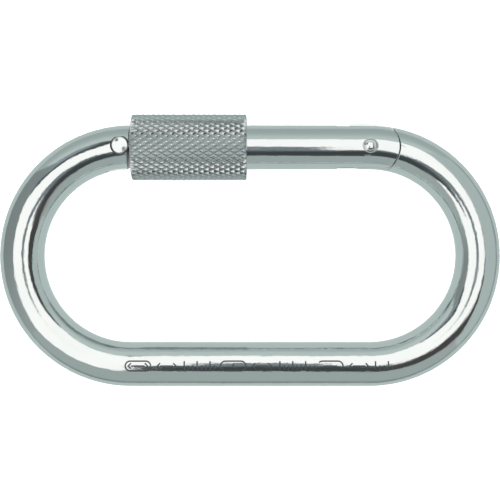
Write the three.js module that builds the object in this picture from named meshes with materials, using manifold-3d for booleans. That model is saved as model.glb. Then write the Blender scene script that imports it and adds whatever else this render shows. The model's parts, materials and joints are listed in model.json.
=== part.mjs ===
// A screw-lock oval carabiner of round stainless steel bar, in millimetres, +Z up.
// It lies flat. +X runs to the hinge end, +Y to the gate side, and +Z across the bar.
// The origin is the centre of the whole object's box.
import * as THREE from "three";
import { mergeVertices } from "three/addons/utils/BufferGeometryUtils.js";
import Module from "manifold-3d";

const wasm = await Module();
wasm.setup();

// The bar and the oval it is bent to
const BAR_R = 6;
const BOW_R = 29.5; // centreline radius of the bow at each end
const BOW_X = 32.5; // the bow centres are this far from the middle
const SLEEVE_R = 9;
const OVAL_Y = -(SLEEVE_R - BAR_R) / 2; // the oval's long axis
const GATE_Y = OVAL_Y + BOW_R; // the gate's axis
const BAR_SIDES = 24;
const BOW_STEPS = 25; // odd, so that one flat facet faces the middle of each bow

// The hinge: a blade on the frame between two cheeks of the gate
const PIVOT_X = 32.3;
const CHEEK_END_R = 7.8; // the cheeks end on this arc about the pivot
const RECESS_R = 8.1; // and the frame is cut back to this one
const BLADE_HALF = 1.9;
const SLOT_HALF = 2;
const SLOT_X = 23.7; // the gate's slot starts here
const BLADE_EDGE = 5.1; // from the pivot to the blade's straight edge
const BLADE_FOOT_X = 29.95; // where the blade's edge meets the inside of the bar
const CREST_RISE = 6.3; // top of the blade above the pivot
const CREST_CHAMFER = 0.3;
const CREST_END = 5; // where the blade's top runs into the bow, right of the pivot
const CREST_END_RISE = 5.6;
const CAM_RISE = 2.2; // the plunger moves this much for each radian that the gate turns
const CAM_ANGLE = THREE.MathUtils.degToRad(35);
const CAM_STEPS = 7;

// Rivets
const SHANK_R = 1.5;
const RUNNING_R = 1.65; // hole in the moving blade
const FIXED_R = 1.6; // hole in the cheeks and the nose
const HINGE_HEAD_R = 1.7;
const HINGE_HEAD_Z = 5.45;
const HINGE_DOME = 0.5;
const COUNTERSINK_R = 2.15;
const COUNTERSINK_Z = 4.95;
const LATCH_HEAD_R = 2.28;
const LATCH_HEAD_Z = 5.5;
const LATCH_RIM = 0.4;
const LATCH_DOME = 0.9;
const POCKET_R = 2.6;
const POCKET_Z = 5.4;

// The nose and the tongue that hooks behind the latch rivet
const LATCH_X = -34.9;
const LATCH_Y = GATE_Y + 0.15;
const NOSE_X = -33.1; // end of the nose's inner half
const LIP_DROP = 0.3; // the outer half starts this far below the axis
const LIP_SWING_R = 64.95; // it ends on this arc about the pivot, clear of the swinging sleeve
const NOSE_CHAMFER = 0.8;
const NOSE_SLOT_HALF = 1.4;
const NOSE_SLOT_X = -39.2;
const NOSE_SLOT_TOP = 2.6; // above the axis
const TONGUE_HALF = 1.2;
const TONGUE_TIP_X = -38.4;
const TONGUE_ROOT_X = -31;
const TONGUE_TOP = 2.1;
const TONGUE_BOTTOM = -5.5;
const TONGUE_CORNER = 0.7;
const NOTCH_R = 1.7;

// The gate's screw thread and the sleeve's
const PITCH = 1.75;
const THREAD_STEPS = 18; // per turn
const GATE_END_X = -31.9;
const THREAD_START_X = -31.1;
const THREAD_TURNS = 10.5;
const RELIEF_X = -11.8;
const SHOULDER_X = -1.5; // full bar from here to the hinge
const ROOT_R = 5.1;
const RELIEF_R = 5.3;
const CREST_HALF = 0.15;
const NUT_TIP_R = 5.35;
const NUT_TIP_HALF = 0.2;
const NUT_BASE_R = 6.35;
const NUT_THREAD_X = THREAD_START_X + 2.5 * PITCH; // half a pitch off the gate's ridge
const NUT_TURNS = 3.5;
const NUT_RUNOUT = 0.9;
const FLANK = Math.tan(Math.PI / 6);
const EMBED = 0.2; // the ridges start this deep in the metal

// The sleeve
const SLEEVE_START_X = -32.2;
const SLEEVE_END_X = -0.8;
const SLEEVE_BORE_R = 6.2;
const SLEEVE_FACE_R = 8.3;
const SLEEVE_CONE = 0.25;
const SLEEVE_ROUND = 0.45;
const SLEEVE_SIDES = 48;
const RING_X = -11;
const RING_R = 6.05;
const RING_WIRE_R = 0.45;
const RING_GAP = THREE.MathUtils.degToRad(24);
const RING_STEPS = 24;
const GROOVE_R = 6.75;
const GROOVE_HALF = 0.6;

// The plunger, its bore in the gate and its spring
const PLUNGER_Y = GATE_Y - 1.2;
const PLUNGER_R = 1.8;
const PLUNGER_FACE_X = PIVOT_X - BLADE_EDGE - 0.1;
const PLUNGER_SHOULDER_X = 21.1;
const SPIGOT_X = 18.6;
const SPIGOT_R = 0.9;
const BORE_R = 2;
const BORE_END_X = 7;
const SPRING_GAP = 0.1; // at each end
const SPRING_R = 1.45;
const SPRING_WIRE_R = 0.3;
const SPRING_TURNS = 9;
const SPRING_STEPS = 12; // per turn

const ROUND_SIDES = 24;
const OUTSIDE = 12; // a size past any surface of the bar, for cutters

// A route for an extrusion, given by stations that each have a point, a direction and a normal.
class Route extends THREE.Curve {
  constructor(stations) {
    super();
    this.stations = stations;
    this.steps = stations.length - 1;
  }
  getPoint(t, target = new THREE.Vector3()) {
    return target.copy(this.stations[Math.round(t * this.steps)].point);
  }
  getPointAt(u, target) {
    return this.getPoint(u, target);
  }
  computeFrenetFrames() {
    return {
      tangents: this.stations.map((s) => s.direction),
      normals: this.stations.map((s) => s.normal),
      binormals: this.stations.map((s) => s.direction.clone().cross(s.normal)),
    };
  }
}

// Stations along the oval's plane.
function flatStation(x, y, directionAngle) {
  return {
    point: new THREE.Vector3(x, y, 0),
    direction: new THREE.Vector3(Math.cos(directionAngle), Math.sin(directionAngle), 0),
    normal: new THREE.Vector3(0, 0, 1),
  };
}

// Stations of a bow about (centreX, OVAL_Y), from one angle to another.
function bowStations(centreX, start, step, count) {
  const turn = Math.sign(step);
  return Array.from({ length: count + 1 }, (_, i) => {
    const angle = start + i * step;
    const x = centreX + BOW_R * Math.cos(angle);
    const y = OVAL_Y + BOW_R * Math.sin(angle);
    return flatStation(x, y, angle + (turn * Math.PI) / 2);
  });
}

// Stations of a right-hand helix about the line along X at height y.
function helixStations(startX, endX, turns, radius, y, stepsPerTurn, startAngle = 0) {
  const count = Math.round(turns * stepsPerTurn);
  return Array.from({ length: count + 1 }, (_, i) => {
    const angle = startAngle + (i / count) * turns * 2 * Math.PI;
    const normal = new THREE.Vector3(0, Math.cos(angle), Math.sin(angle));
    const lead = (endX - startX) / (turns * 2 * Math.PI);
    const direction = new THREE.Vector3(lead, -radius * normal.z, radius * normal.y).normalize();
    const x = startX + ((endX - startX) * i) / count;
    const point = new THREE.Vector3(x, y + radius * normal.y, radius * normal.z);
    return { point, direction, normal };
  });
}

// A regular polygon whose flats lie at the given radius.
function roundSection(radius, sides) {
  const corner = radius / Math.cos(Math.PI / sides);
  const points = Array.from({ length: sides }, (_, i) => {
    const angle = ((i + 0.5) * 2 * Math.PI) / sides;
    return new THREE.Vector2(corner * Math.cos(angle), corner * Math.sin(angle));
  });
  return new THREE.Shape(points);
}

function extrudeAlong(section, stations) {
  const route = new Route(stations);
  const options = { steps: route.steps, extrudePath: route, bevelEnabled: false };
  return solid(new THREE.ExtrudeGeometry(section, options));
}

// An outline in the oval's plane, as thick as twice half, or from low to high.
function plate(shape, high, low = -high) {
  const geometry = new THREE.ExtrudeGeometry(shape, {
    depth: high - low,
    bevelEnabled: false,
    curveSegments: 16,
  });
  return solid(geometry.translate(0, 0, low));
}

function block(x0, x1, y0, y1, z0, z1) {
  const geometry = new THREE.BoxGeometry(x1 - x0, y1 - y0, z1 - z0);
  return solid(geometry.translate((x0 + x1) / 2, (y0 + y1) / 2, (z0 + z1) / 2));
}

// A solid of revolution about the line along Z at (x, y): profile points are [radius, z].
function turnedOnZ(profile, x, y) {
  const points = profile.map(([radius, z]) => new THREE.Vector2(radius, z));
  const geometry = new THREE.LatheGeometry(points, ROUND_SIDES);
  return solid(geometry.rotateX(Math.PI / 2).translate(x, y, 0));
}

// A solid of revolution about the line along X at height y: profile points are [radius, x].
function turnedOnX(profile, y, sides = ROUND_SIDES) {
  const points = profile.map(([radius, x]) => new THREE.Vector2(radius, x));
  const geometry = new THREE.LatheGeometry(points, sides);
  return solid(geometry.rotateZ(-Math.PI / 2).translate(0, y, 0));
}

function rod(radius, low, high) {
  return [
    [0, low],
    [radius, low],
    [radius, high],
    [0, high],
  ];
}

// Profile points of a spherical cap, from its rim to its pole.
function dome(rimR, rimZ, height) {
  const sphereR = (rimR ** 2 + height ** 2) / (2 * height);
  const rimAngle = Math.asin(rimR / sphereR);
  const steps = 4;
  return Array.from({ length: steps + 1 }, (_, i) => {
    const angle = rimAngle * (1 - i / steps);
    const z = rimZ + height - sphereR * (1 - Math.cos(angle));
    return [i === steps ? 0 : sphereR * Math.sin(angle), z];
  });
}

// The upper half of a profile, and its mirror image below.
function mirrored(upper) {
  const lower = upper.map(([radius, z]) => [radius, -z]).reverse();
  return [...lower, ...upper];
}

function solid(geometry) {
  geometry.deleteAttribute("normal");
  geometry.deleteAttribute("uv");
  const merged = mergeVertices(geometry, 1e-4);
  const mesh = new wasm.Mesh({
    numProp: 3,
    vertProperties: merged.attributes.position.array,
    triVerts: new Uint32Array(merged.index.array),
  });
  return new wasm.Manifold(mesh);
}

function named(name, body, color, roughness, metalness = 1) {
  const { vertProperties, triVerts } = body.getMesh();
  const geometry = new THREE.BufferGeometry();
  geometry.setAttribute("position", new THREE.BufferAttribute(vertProperties, 3));
  geometry.setIndex(new THREE.BufferAttribute(triVerts, 1));
  const material = new THREE.MeshStandardMaterial({ color, roughness, metalness });
  const mesh = new THREE.Mesh(geometry, material);
  mesh.name = name;
  return mesh;
}

// A trapezoid ridge on a helix: tip half-width at tipR, 30 degree flanks to baseR.
function threadRidge(startX, turns, tipR, baseR, tipHalf) {
  const baseHalf = tipHalf + Math.abs(tipR - baseR) * FLANK;
  const midR = (tipR + baseR) / 2;
  const section = new THREE.Shape([
    new THREE.Vector2(tipR - midR, -tipHalf),
    new THREE.Vector2(tipR - midR, tipHalf),
    new THREE.Vector2(baseR - midR, baseHalf),
    new THREE.Vector2(baseR - midR, -baseHalf),
  ]);
  const endX = startX + turns * PITCH;
  return extrudeAlong(section, helixStations(startX, endX, turns, midR, GATE_Y, THREAD_STEPS));
}

// The blade's edge that the plunger presses on: straight, then an involute, so that the
// plunger moves in proportion to the gate's angle. What lies left of it is cut away.
function leftOfBlade() {
  const shape = new THREE.Shape();
  shape.moveTo(PIVOT_X - BLADE_EDGE, GATE_Y + OUTSIDE);
  shape.lineTo(PIVOT_X - OUTSIDE, GATE_Y + OUTSIDE);
  shape.lineTo(PIVOT_X - OUTSIDE, GATE_Y - OUTSIDE);
  shape.lineTo(BLADE_FOOT_X, GATE_Y - OUTSIDE);
  shape.lineTo(BLADE_FOOT_X, GATE_Y - BAR_R);
  for (let i = CAM_STEPS; i >= 0; i--) {
    const angle = (CAM_ANGLE * i) / CAM_STEPS;
    const reach = BLADE_EDGE + CAM_RISE * angle;
    const x = PIVOT_X - reach * Math.cos(angle) + CAM_RISE * Math.sin(angle);
    const y = GATE_Y - reach * Math.sin(angle) - CAM_RISE * Math.cos(angle);
    shape.lineTo(x, y);
  }
  return plate(shape, OUTSIDE);
}

// The space that the gate's cheeks need beside the blade.
function cheekSpace(radius, x0) {
  const disc = turnedOnZ(rod(radius, -OUTSIDE, OUTSIDE), PIVOT_X, GATE_Y);
  const span = block(x0, PIVOT_X, GATE_Y - OUTSIDE, GATE_Y + OUTSIDE, -OUTSIDE, OUTSIDE);
  return disc.add(span);
}

// What is cut off the nose: an arc about the pivot above, a straight end with a chamfer below.
function beyondNose() {
  const shape = new THREE.Shape();
  const lipAngle = Math.asin(LIP_DROP / LIP_SWING_R);
  const topAngle = Math.asin(OUTSIDE / LIP_SWING_R);
  shape.absarc(PIVOT_X, GATE_Y, LIP_SWING_R, Math.PI - topAngle, Math.PI + lipAngle, false);
  shape.lineTo(NOSE_X, GATE_Y - LIP_DROP);
  shape.lineTo(NOSE_X, GATE_Y - BAR_R + NOSE_CHAMFER);
  shape.lineTo(NOSE_X - NOSE_CHAMFER, GATE_Y - BAR_R);
  shape.lineTo(NOSE_X - NOSE_CHAMFER, GATE_Y - OUTSIDE);
  shape.lineTo(TONGUE_ROOT_X + 1, GATE_Y - OUTSIDE);
  shape.lineTo(TONGUE_ROOT_X + 1, GATE_Y + OUTSIDE);
  return plate(shape, OUTSIDE);
}

// The blade stands a little proud of the bar's outline, and slopes down into the bow.
function bladeCrest() {
  const shape = new THREE.Shape();
  shape.moveTo(PIVOT_X - BLADE_EDGE - 1.2, GATE_Y);
  shape.lineTo(PIVOT_X + CREST_END, GATE_Y);
  shape.lineTo(PIVOT_X + CREST_END, GATE_Y + CREST_END_RISE);
  shape.lineTo(PIVOT_X - 1, GATE_Y + CREST_RISE);
  shape.lineTo(PIVOT_X - BLADE_EDGE + CREST_CHAMFER, GATE_Y + CREST_RISE);
  shape.lineTo(PIVOT_X - BLADE_EDGE - 1.2, GATE_Y + CREST_RISE - CREST_CHAMFER - 1.2);
  return plate(shape, BLADE_HALF);
}

function frameBar() {
  const bowStep = Math.PI / BOW_STEPS;
  const bar = extrudeAlong(roundSection(BAR_R, BAR_SIDES), [
    flatStation(TONGUE_ROOT_X, GATE_Y, Math.PI),
    ...bowStations(-BOW_X, Math.PI / 2, bowStep, BOW_STEPS),
    ...bowStations(BOW_X, -Math.PI / 2, bowStep, BOW_STEPS),
    flatStation(PIVOT_X - BLADE_EDGE - 1, GATE_Y, Math.PI),
  ]);
  const blade = block(0, 60, 0, 60, -BLADE_HALF, BLADE_HALF);
  const hinge = cheekSpace(RECESS_R, PIVOT_X - OUTSIDE).subtract(blade);
  const slotBox = [NOSE_SLOT_X, TONGUE_ROOT_X, GATE_Y - OUTSIDE, GATE_Y + NOSE_SLOT_TOP];
  const slot = block(...slotBox, -NOSE_SLOT_HALF, NOSE_SLOT_HALF);
  const pivotHole = turnedOnZ(rod(RUNNING_R, -OUTSIDE, OUTSIDE), PIVOT_X, GATE_Y);
  const latchHole = turnedOnZ(rod(FIXED_R, -OUTSIDE, OUTSIDE), LATCH_X, LATCH_Y);
  const upperPocket = turnedOnZ(rod(POCKET_R, POCKET_Z, OUTSIDE), LATCH_X, LATCH_Y);
  const lowerPocket = turnedOnZ(rod(POCKET_R, -OUTSIDE, -POCKET_Z), LATCH_X, LATCH_Y);
  const cuts = [leftOfBlade(), hinge, beyondNose(), slot, pivotHole, latchHole, upperPocket];
  return [...cuts, lowerPocket].reduce((body, cut) => body.subtract(cut), bar.add(bladeCrest()));
}

// The flat tongue, with a notch from above that takes the latch rivet.
function tongue() {
  const shape = new THREE.Shape();
  const top = GATE_Y + TONGUE_TOP;
  const bottom = GATE_Y + TONGUE_BOTTOM;
  shape.moveTo(TONGUE_ROOT_X, top);
  shape.lineTo(LATCH_X + NOTCH_R, top);
  shape.absarc(LATCH_X, LATCH_Y, NOTCH_R, 0, -Math.PI, true);
  shape.lineTo(LATCH_X - NOTCH_R, top);
  shape.lineTo(TONGUE_TIP_X + TONGUE_CORNER, top);
  shape.lineTo(TONGUE_TIP_X, top - TONGUE_CORNER);
  shape.lineTo(TONGUE_TIP_X, bottom + TONGUE_CORNER);
  shape.lineTo(TONGUE_TIP_X + TONGUE_CORNER, bottom);
  shape.lineTo(TONGUE_ROOT_X, bottom);
  return plate(shape, TONGUE_HALF);
}

function gate() {
  const bowStep = -Math.PI / BOW_STEPS;
  const bar = extrudeAlong(roundSection(BAR_R, BAR_SIDES), [
    flatStation(SHOULDER_X, GATE_Y, 0),
    ...bowStations(BOW_X, Math.PI / 2, bowStep, 3),
  ]).intersect(cheekSpace(CHEEK_END_R, SHOULDER_X - 1));
  const core = turnedOnX(
    [
      [0, GATE_END_X],
      [ROOT_R, GATE_END_X],
      [ROOT_R, RELIEF_X],
      [RELIEF_R, RELIEF_X],
      [RELIEF_R, SHOULDER_X + 1],
      [0, SHOULDER_X + 1],
    ],
    GATE_Y,
    2 * THREAD_STEPS,
  );
  const ridge = threadRidge(THREAD_START_X, THREAD_TURNS, BAR_R, ROOT_R - EMBED, CREST_HALF);
  const slot = block(SLOT_X, 60, GATE_Y - OUTSIDE, GATE_Y + OUTSIDE, -SLOT_HALF, SLOT_HALF);
  const bore = turnedOnX(rod(BORE_R, BORE_END_X, SLOT_X + 1), PLUNGER_Y);
  const pivotHole = turnedOnZ(rod(FIXED_R, -OUTSIDE, OUTSIDE), PIVOT_X, GATE_Y);
  const coneSlope = (COUNTERSINK_R - FIXED_R) / (BAR_R - COUNTERSINK_Z);
  const coneTopR = FIXED_R + coneSlope * (OUTSIDE - COUNTERSINK_Z);
  const cone = [
    [0, COUNTERSINK_Z],
    [FIXED_R, COUNTERSINK_Z],
    [coneTopR, OUTSIDE],
    [0, OUTSIDE],
  ];
  const coneBelow = cone.map(([radius, z]) => [radius, -z]).reverse();
  const sinks = [cone, coneBelow].map((profile) => turnedOnZ(profile, PIVOT_X, GATE_Y));
  const whole = bar.add(core).add(ridge).add(tongue());
  return [slot, bore, pivotHole, ...sinks].reduce((body, cut) => body.subtract(cut), whole);
}

function lockingSleeve() {
  const start = SLEEVE_START_X;
  const end = SLEEVE_END_X;
  const nutEnd = NUT_THREAD_X + NUT_TURNS * PITCH + NUT_RUNOUT;
  const profile = [
    [SLEEVE_BORE_R, start],
    [SLEEVE_FACE_R, start + SLEEVE_CONE],
    [SLEEVE_R, start + SLEEVE_CONE + SLEEVE_ROUND],
    [SLEEVE_R, end - SLEEVE_CONE - SLEEVE_ROUND],
    [SLEEVE_FACE_R, end - SLEEVE_CONE],
    [SLEEVE_BORE_R, end],
    [SLEEVE_BORE_R, RING_X + GROOVE_HALF],
    [GROOVE_R, RING_X + GROOVE_HALF],
    [GROOVE_R, RING_X - GROOVE_HALF],
    [SLEEVE_BORE_R, RING_X - GROOVE_HALF],
    [SLEEVE_BORE_R, nutEnd],
    [NUT_BASE_R, nutEnd],
    [NUT_BASE_R, NUT_THREAD_X - NUT_RUNOUT],
    [SLEEVE_BORE_R, NUT_THREAD_X - NUT_RUNOUT],
    [SLEEVE_BORE_R, start],
  ];
  const shell = turnedOnX(profile, GATE_Y, SLEEVE_SIDES);
  const baseR = NUT_BASE_R + EMBED;
  return shell.add(threadRidge(NUT_THREAD_X, NUT_TURNS, NUT_TIP_R, baseR, NUT_TIP_HALF));
}

function hingeRivet() {
  const flare = [SHANK_R, COUNTERSINK_Z];
  return turnedOnZ(mirrored([flare, ...dome(HINGE_HEAD_R, HINGE_HEAD_Z, HINGE_DOME)]), PIVOT_X, GATE_Y);
}

function latchRivet() {
  const upper = [
    [SHANK_R, LATCH_HEAD_Z],
    [LATCH_HEAD_R, LATCH_HEAD_Z],
    ...dome(LATCH_HEAD_R, LATCH_HEAD_Z + LATCH_RIM, LATCH_DOME),
  ];
  return turnedOnZ(mirrored(upper), LATCH_X, LATCH_Y);
}

function gatePlunger() {
  const profile = [
    [0, SPIGOT_X],
    [SPIGOT_R, SPIGOT_X],
    [SPIGOT_R, PLUNGER_SHOULDER_X],
    [PLUNGER_R, PLUNGER_SHOULDER_X],
    [PLUNGER_R, PLUNGER_FACE_X],
    [0, PLUNGER_FACE_X],
  ];
  return turnedOnX(profile, PLUNGER_Y);
}

function gateSpring() {
  const startX = BORE_END_X + SPRING_GAP + SPRING_WIRE_R;
  const endX = PLUNGER_SHOULDER_X - SPRING_GAP - SPRING_WIRE_R;
  const stations = helixStations(startX, endX, SPRING_TURNS, SPRING_R, PLUNGER_Y, SPRING_STEPS);
  return extrudeAlong(roundSection(SPRING_WIRE_R, 6), stations);
}

function stopRing() {
  const turns = 1 - RING_GAP / (2 * Math.PI);
  const stations = helixStations(RING_X, RING_X, turns, RING_R, GATE_Y, RING_STEPS, RING_GAP / 2);
  return extrudeAlong(roundSection(RING_WIRE_R, 8), stations);
}

const carabiner = new THREE.Group();
carabiner.add(
  named("frame_bar", frameBar(), 0xc3c9c6, 0.12),
  named("gate", gate(), 0xc0c6c4, 0.14),
  named("locking_sleeve", lockingSleeve(), 0xb4bbb8, 0.24),
  named("hinge_rivet", hingeRivet(), 0xc8cccb, 0.2),
  named("latch_rivet", latchRivet(), 0xd2d5d4, 0.15),
  named("gate_plunger", gatePlunger(), 0xb8bcba, 0.3),
  named("gate_spring", gateSpring(), 0xa9adab, 0.35),
  named("stop_ring", stopRing(), 0xa9adab, 0.35),
);

export default carabiner;
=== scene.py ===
import json
import math

import bmesh
import bpy
import numpy as np
from mathutils import Matrix, Vector


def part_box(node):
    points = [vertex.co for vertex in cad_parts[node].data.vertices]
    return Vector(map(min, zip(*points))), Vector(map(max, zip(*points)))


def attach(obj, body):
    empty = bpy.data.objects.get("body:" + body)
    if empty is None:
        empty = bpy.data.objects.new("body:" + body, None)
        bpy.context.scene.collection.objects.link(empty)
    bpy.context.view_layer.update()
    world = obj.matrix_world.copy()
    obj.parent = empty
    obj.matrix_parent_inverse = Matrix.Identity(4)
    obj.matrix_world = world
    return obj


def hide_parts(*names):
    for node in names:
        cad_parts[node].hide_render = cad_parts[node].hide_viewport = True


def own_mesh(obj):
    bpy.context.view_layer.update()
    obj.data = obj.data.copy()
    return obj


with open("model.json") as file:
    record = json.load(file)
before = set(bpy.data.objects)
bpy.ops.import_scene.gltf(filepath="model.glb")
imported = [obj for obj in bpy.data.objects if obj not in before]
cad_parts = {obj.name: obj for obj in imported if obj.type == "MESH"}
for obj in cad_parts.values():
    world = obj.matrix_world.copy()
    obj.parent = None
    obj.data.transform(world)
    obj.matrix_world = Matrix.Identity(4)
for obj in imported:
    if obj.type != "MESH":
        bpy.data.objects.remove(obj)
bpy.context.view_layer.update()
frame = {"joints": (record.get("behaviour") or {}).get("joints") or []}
scene = bpy.context.scene

# Lengths in this script are millimetres until a piece is finished, and then metres.
MM = 0.001

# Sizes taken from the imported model
joints = {joint["name"]: joint for joint in frame["joints"]}
PIVOT_X, PIVOT_Y, _ = (v / MM for v in joints["gate_hinge"]["pos_m"])


def node_box(name):
    """A CAD node's lowest and highest corner, in millimetres."""
    low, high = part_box(name)
    return low / MM, high / MM


BAR_LOW, BAR_HIGH = node_box("frame_bar")
BAR_R = BAR_HIGH.z
SPINE_Y = BAR_LOW.y + BAR_R
OVAL_Y = (SPINE_Y + PIVOT_Y) / 2
BOW_R = PIVOT_Y - OVAL_Y
SLEEVE_LOW, SLEEVE_HIGH = node_box("locking_sleeve")
SLEEVE_R = SLEEVE_HIGH.z
TONGUE_TIP_X = node_box("gate")[0].x
LATCH_LOW, LATCH_HIGH = node_box("latch_rivet")
LATCH_X = (LATCH_LOW.x + LATCH_HIGH.x) / 2
LATCH_Y = (LATCH_LOW.y + LATCH_HIGH.y) / 2
PLUNGER_LOW, PLUNGER_HIGH = node_box("gate_plunger")
PLUNGER_Y = (PLUNGER_LOW.y + PLUNGER_HIGH.y) / 2
SPRING_LOW, SPRING_HIGH = node_box("gate_spring")
RING_LOW, RING_HIGH = node_box("stop_ring")

# The oval and the hinge, as in the CAD model
BOW_X = 32.5
BAR_SIDES = 96
BOW_STEPS = 60
OUTSIDE = 14
CHEEK_END_R = 7.8
RECESS_R = 8.1
BLADE_HALF = 1.9
SLOT_HALF = 2.0
SLOT_X = 23.7
BLADE_EDGE = 5.1
BLADE_FOOT_X = 29.95
CAM_RISE = 2.2
CAM_ANGLE = math.radians(35)
CREST_RISE = 6.3
CREST_CHAMFER = 0.3
CREST_END = 5.0
CREST_END_RISE = 5.6
RUNNING_R = 1.65
SHANK_R = 1.5
HOLE_R = 1.58
COUNTERSINK_R = 2.12

# Rounded edges: the widths, and how sharp an edge has to be
BAR_ROUND = 0.42
GATE_ROUND = 0.08
ROUNDED_ANGLE = math.radians(24)

# How close a face has to lie to the round bar to be shaded as part of it
NEAR_SURFACE = 0.008
NEAR_NORMAL = math.radians(7)

# The nose and the tongue
NOSE_X = -33.1
LIP_DROP = 0.3
LIP_SWING_R = 64.95
NOSE_CORNER = 0.8
NOSE_SLOT_HALF = 1.4
NOSE_SLOT_X = -39.2
NOSE_SLOT_TOP = 2.6
TONGUE_HALF = 1.2
TONGUE_ROOT_X = -31.0
TONGUE_TOP = 2.1
TONGUE_BOTTOM = -5.5
TONGUE_CORNER = 0.7
NOTCH_R = 1.7
LATCH_POCKET_R = 2.6
LATCH_FLOOR_Z = 5.4
LATCH_TOP_Z = 6.42

# Marks cut in the spine
MARK_HALF = 1.3
MARK_WIDTH = 0.4
MARK_DEPTH = 0.1
MARK_OVALS = (-30.0, -4.5, 21.5)
MARK_TICKS = ((-17.6, 8), (8.0, 9), (33.6, 5))

# Screw thread
PITCH = 1.75
FLANK = math.tan(math.radians(30))
GATE_END_X = -31.9
THREAD_START_X = -31.1
THREAD_STOP_X = -12.9
RELIEF_X = -11.8
SHOULDER_X = -1.5
ROOT_R = 5.1
RELIEF_R = 5.3
CREST_HALF = 0.15
NUT_TIP_R = 5.35
NUT_BASE_R = 6.35
NUT_TIP_HALF = 0.2
NUT_START_X = -27.6
NUT_END_X = -19.7
SLEEVE_BORE_R = 6.2
GROOVE_R = 6.75
GROOVE_HALF = 0.6

# The sleeve's outside
KNURL_TEETH = 34
KNURL_PITCH = 2.77
# How far below a diamond's top, from its middle to the groove in equal steps
KNURL_DROP = np.array([0.0, 0.015, 0.12, 0.255, 0.39, 0.525])
KNURL_SAMPLES = 2 * (len(KNURL_DROP) - 1)
SLEEVE_CORNER = 0.6
SLEEVE_CONE = 0.12


# Mesh building

def make_object(name, vertices, faces):
    mesh = bpy.data.meshes.new(name)
    mesh.from_pydata(np.asarray(vertices, float).tolist(), [], faces)
    mesh.update()
    obj = bpy.data.objects.new(name, mesh)
    scene.collection.objects.link(obj)
    return obj


def merge_close(obj, distance):
    mesh = bmesh.new()
    mesh.from_mesh(obj.data)
    bmesh.ops.remove_doubles(mesh, verts=mesh.verts, dist=distance)
    bmesh.ops.dissolve_degenerate(mesh, edges=mesh.edges, dist=distance / 2)
    mesh.to_mesh(obj.data)
    mesh.free()


def ring_faces(first, second, sides):
    """Quads from one ring of vertices to the next, by the index of each ring's first vertex."""
    return [
        (first + j, first + (j + 1) % sides, second + (j + 1) % sides, second + j)
        for j in range(sides)
    ]


def ring_object(name, rings):
    """A closed solid through rings of points, each counter-clockwise about the way they run."""
    count, sides, _ = rings.shape
    faces = []
    for i in range(count - 1):
        faces += ring_faces(i * sides, (i + 1) * sides, sides)
    faces.append(tuple(range(sides - 1, -1, -1)))
    faces.append(tuple(range((count - 1) * sides, count * sides)))
    obj = make_object(name, rings.reshape(-1, 3), faces)
    merge_close(obj, 1e-4)
    return obj


def station(x, y, heading):
    return x, y, heading


def bow_stations(centre_x, first, last, steps):
    """Stations round a bow, by angle in degrees about its centre."""
    turn = math.copysign(math.pi / 2, last - first)
    angles = np.radians(np.linspace(first, last, steps + 1))
    return [
        station(centre_x + BOW_R * math.cos(a), OVAL_Y + BOW_R * math.sin(a), a + turn)
        for a in angles
    ]


def straight_stations(xs, y):
    return [station(x, y, 0.0) for x in xs]


def bar_rings(stations, radius=None, sides=BAR_SIDES):
    """Rings about each station. radius is one number or an array of stations by sides."""
    stations = np.asarray(stations, float)
    theta = np.linspace(0, 2 * math.pi, sides, endpoint=False)
    radius = np.broadcast_to(BAR_R if radius is None else radius, (len(stations), sides))
    across = radius * np.cos(theta)
    heading = stations[:, 2:3]
    x = stations[:, 0:1] - np.sin(heading) * across
    y = stations[:, 1:2] + np.cos(heading) * across
    return np.stack([x, y, radius * np.sin(theta)], axis=2)


def turned(name, profile, x, y, sides=96):
    """A solid of revolution about the line along Z at (x, y): profile points are (radius, z)."""
    profile = np.asarray(profile, float)
    theta = np.linspace(0, 2 * math.pi, sides, endpoint=False)
    px = x + profile[:, :1] * np.cos(theta)
    py = y + profile[:, :1] * np.sin(theta)
    pz = np.broadcast_to(profile[:, 1:], px.shape)
    return ring_object(name, np.stack([px, py, pz], axis=2))


def turned_on_x(name, profile, y, sides=96):
    """A solid of revolution about the line along X at height y: profile points are (radius, x)."""
    profile = np.asarray(profile, float)
    stations = straight_stations(profile[:, 1], y)
    return ring_object(name, bar_rings(stations, profile[:, :1], sides))


def arc(centre_x, centre_y, radius, first, last, steps=16):
    """Points of an arc, by angle in degrees."""
    angles = np.radians(np.linspace(first, last, steps + 1))
    return [(centre_x + radius * math.cos(a), centre_y + radius * math.sin(a)) for a in angles]


def prism(name, outline, low, high):
    """An outline in the oval's plane, counter-clockwise, as a solid from low to high."""
    count = len(outline)
    vertices = [(x, y, z) for z in (low, high) for x, y in outline]
    faces = ring_faces(0, count, count)
    faces.append(tuple(range(count - 1, -1, -1)))
    faces.append(tuple(range(count, 2 * count)))
    return make_object(name, vertices, faces)


def box(name, x0, x1, y0, y1, z0, z1):
    return prism(name, [(x0, y0), (x1, y0), (x1, y1), (x0, y1)], z0, z1)


def apply_modifiers(obj):
    graph = bpy.context.evaluated_depsgraph_get()
    mesh = bpy.data.meshes.new_from_object(obj.evaluated_get(graph))
    obj.modifiers.clear()
    obj.data = mesh


def combine(obj, other, operation="DIFFERENCE"):
    """Cuts other from obj, or joins or intersects them, and removes other."""
    modifier = obj.modifiers.new("combine", "BOOLEAN")
    modifier.solver = "EXACT"
    modifier.operation = operation
    modifier.material_mode = "TRANSFER"
    modifier.object = other
    apply_modifiers(obj)
    bpy.data.objects.remove(other)


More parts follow.
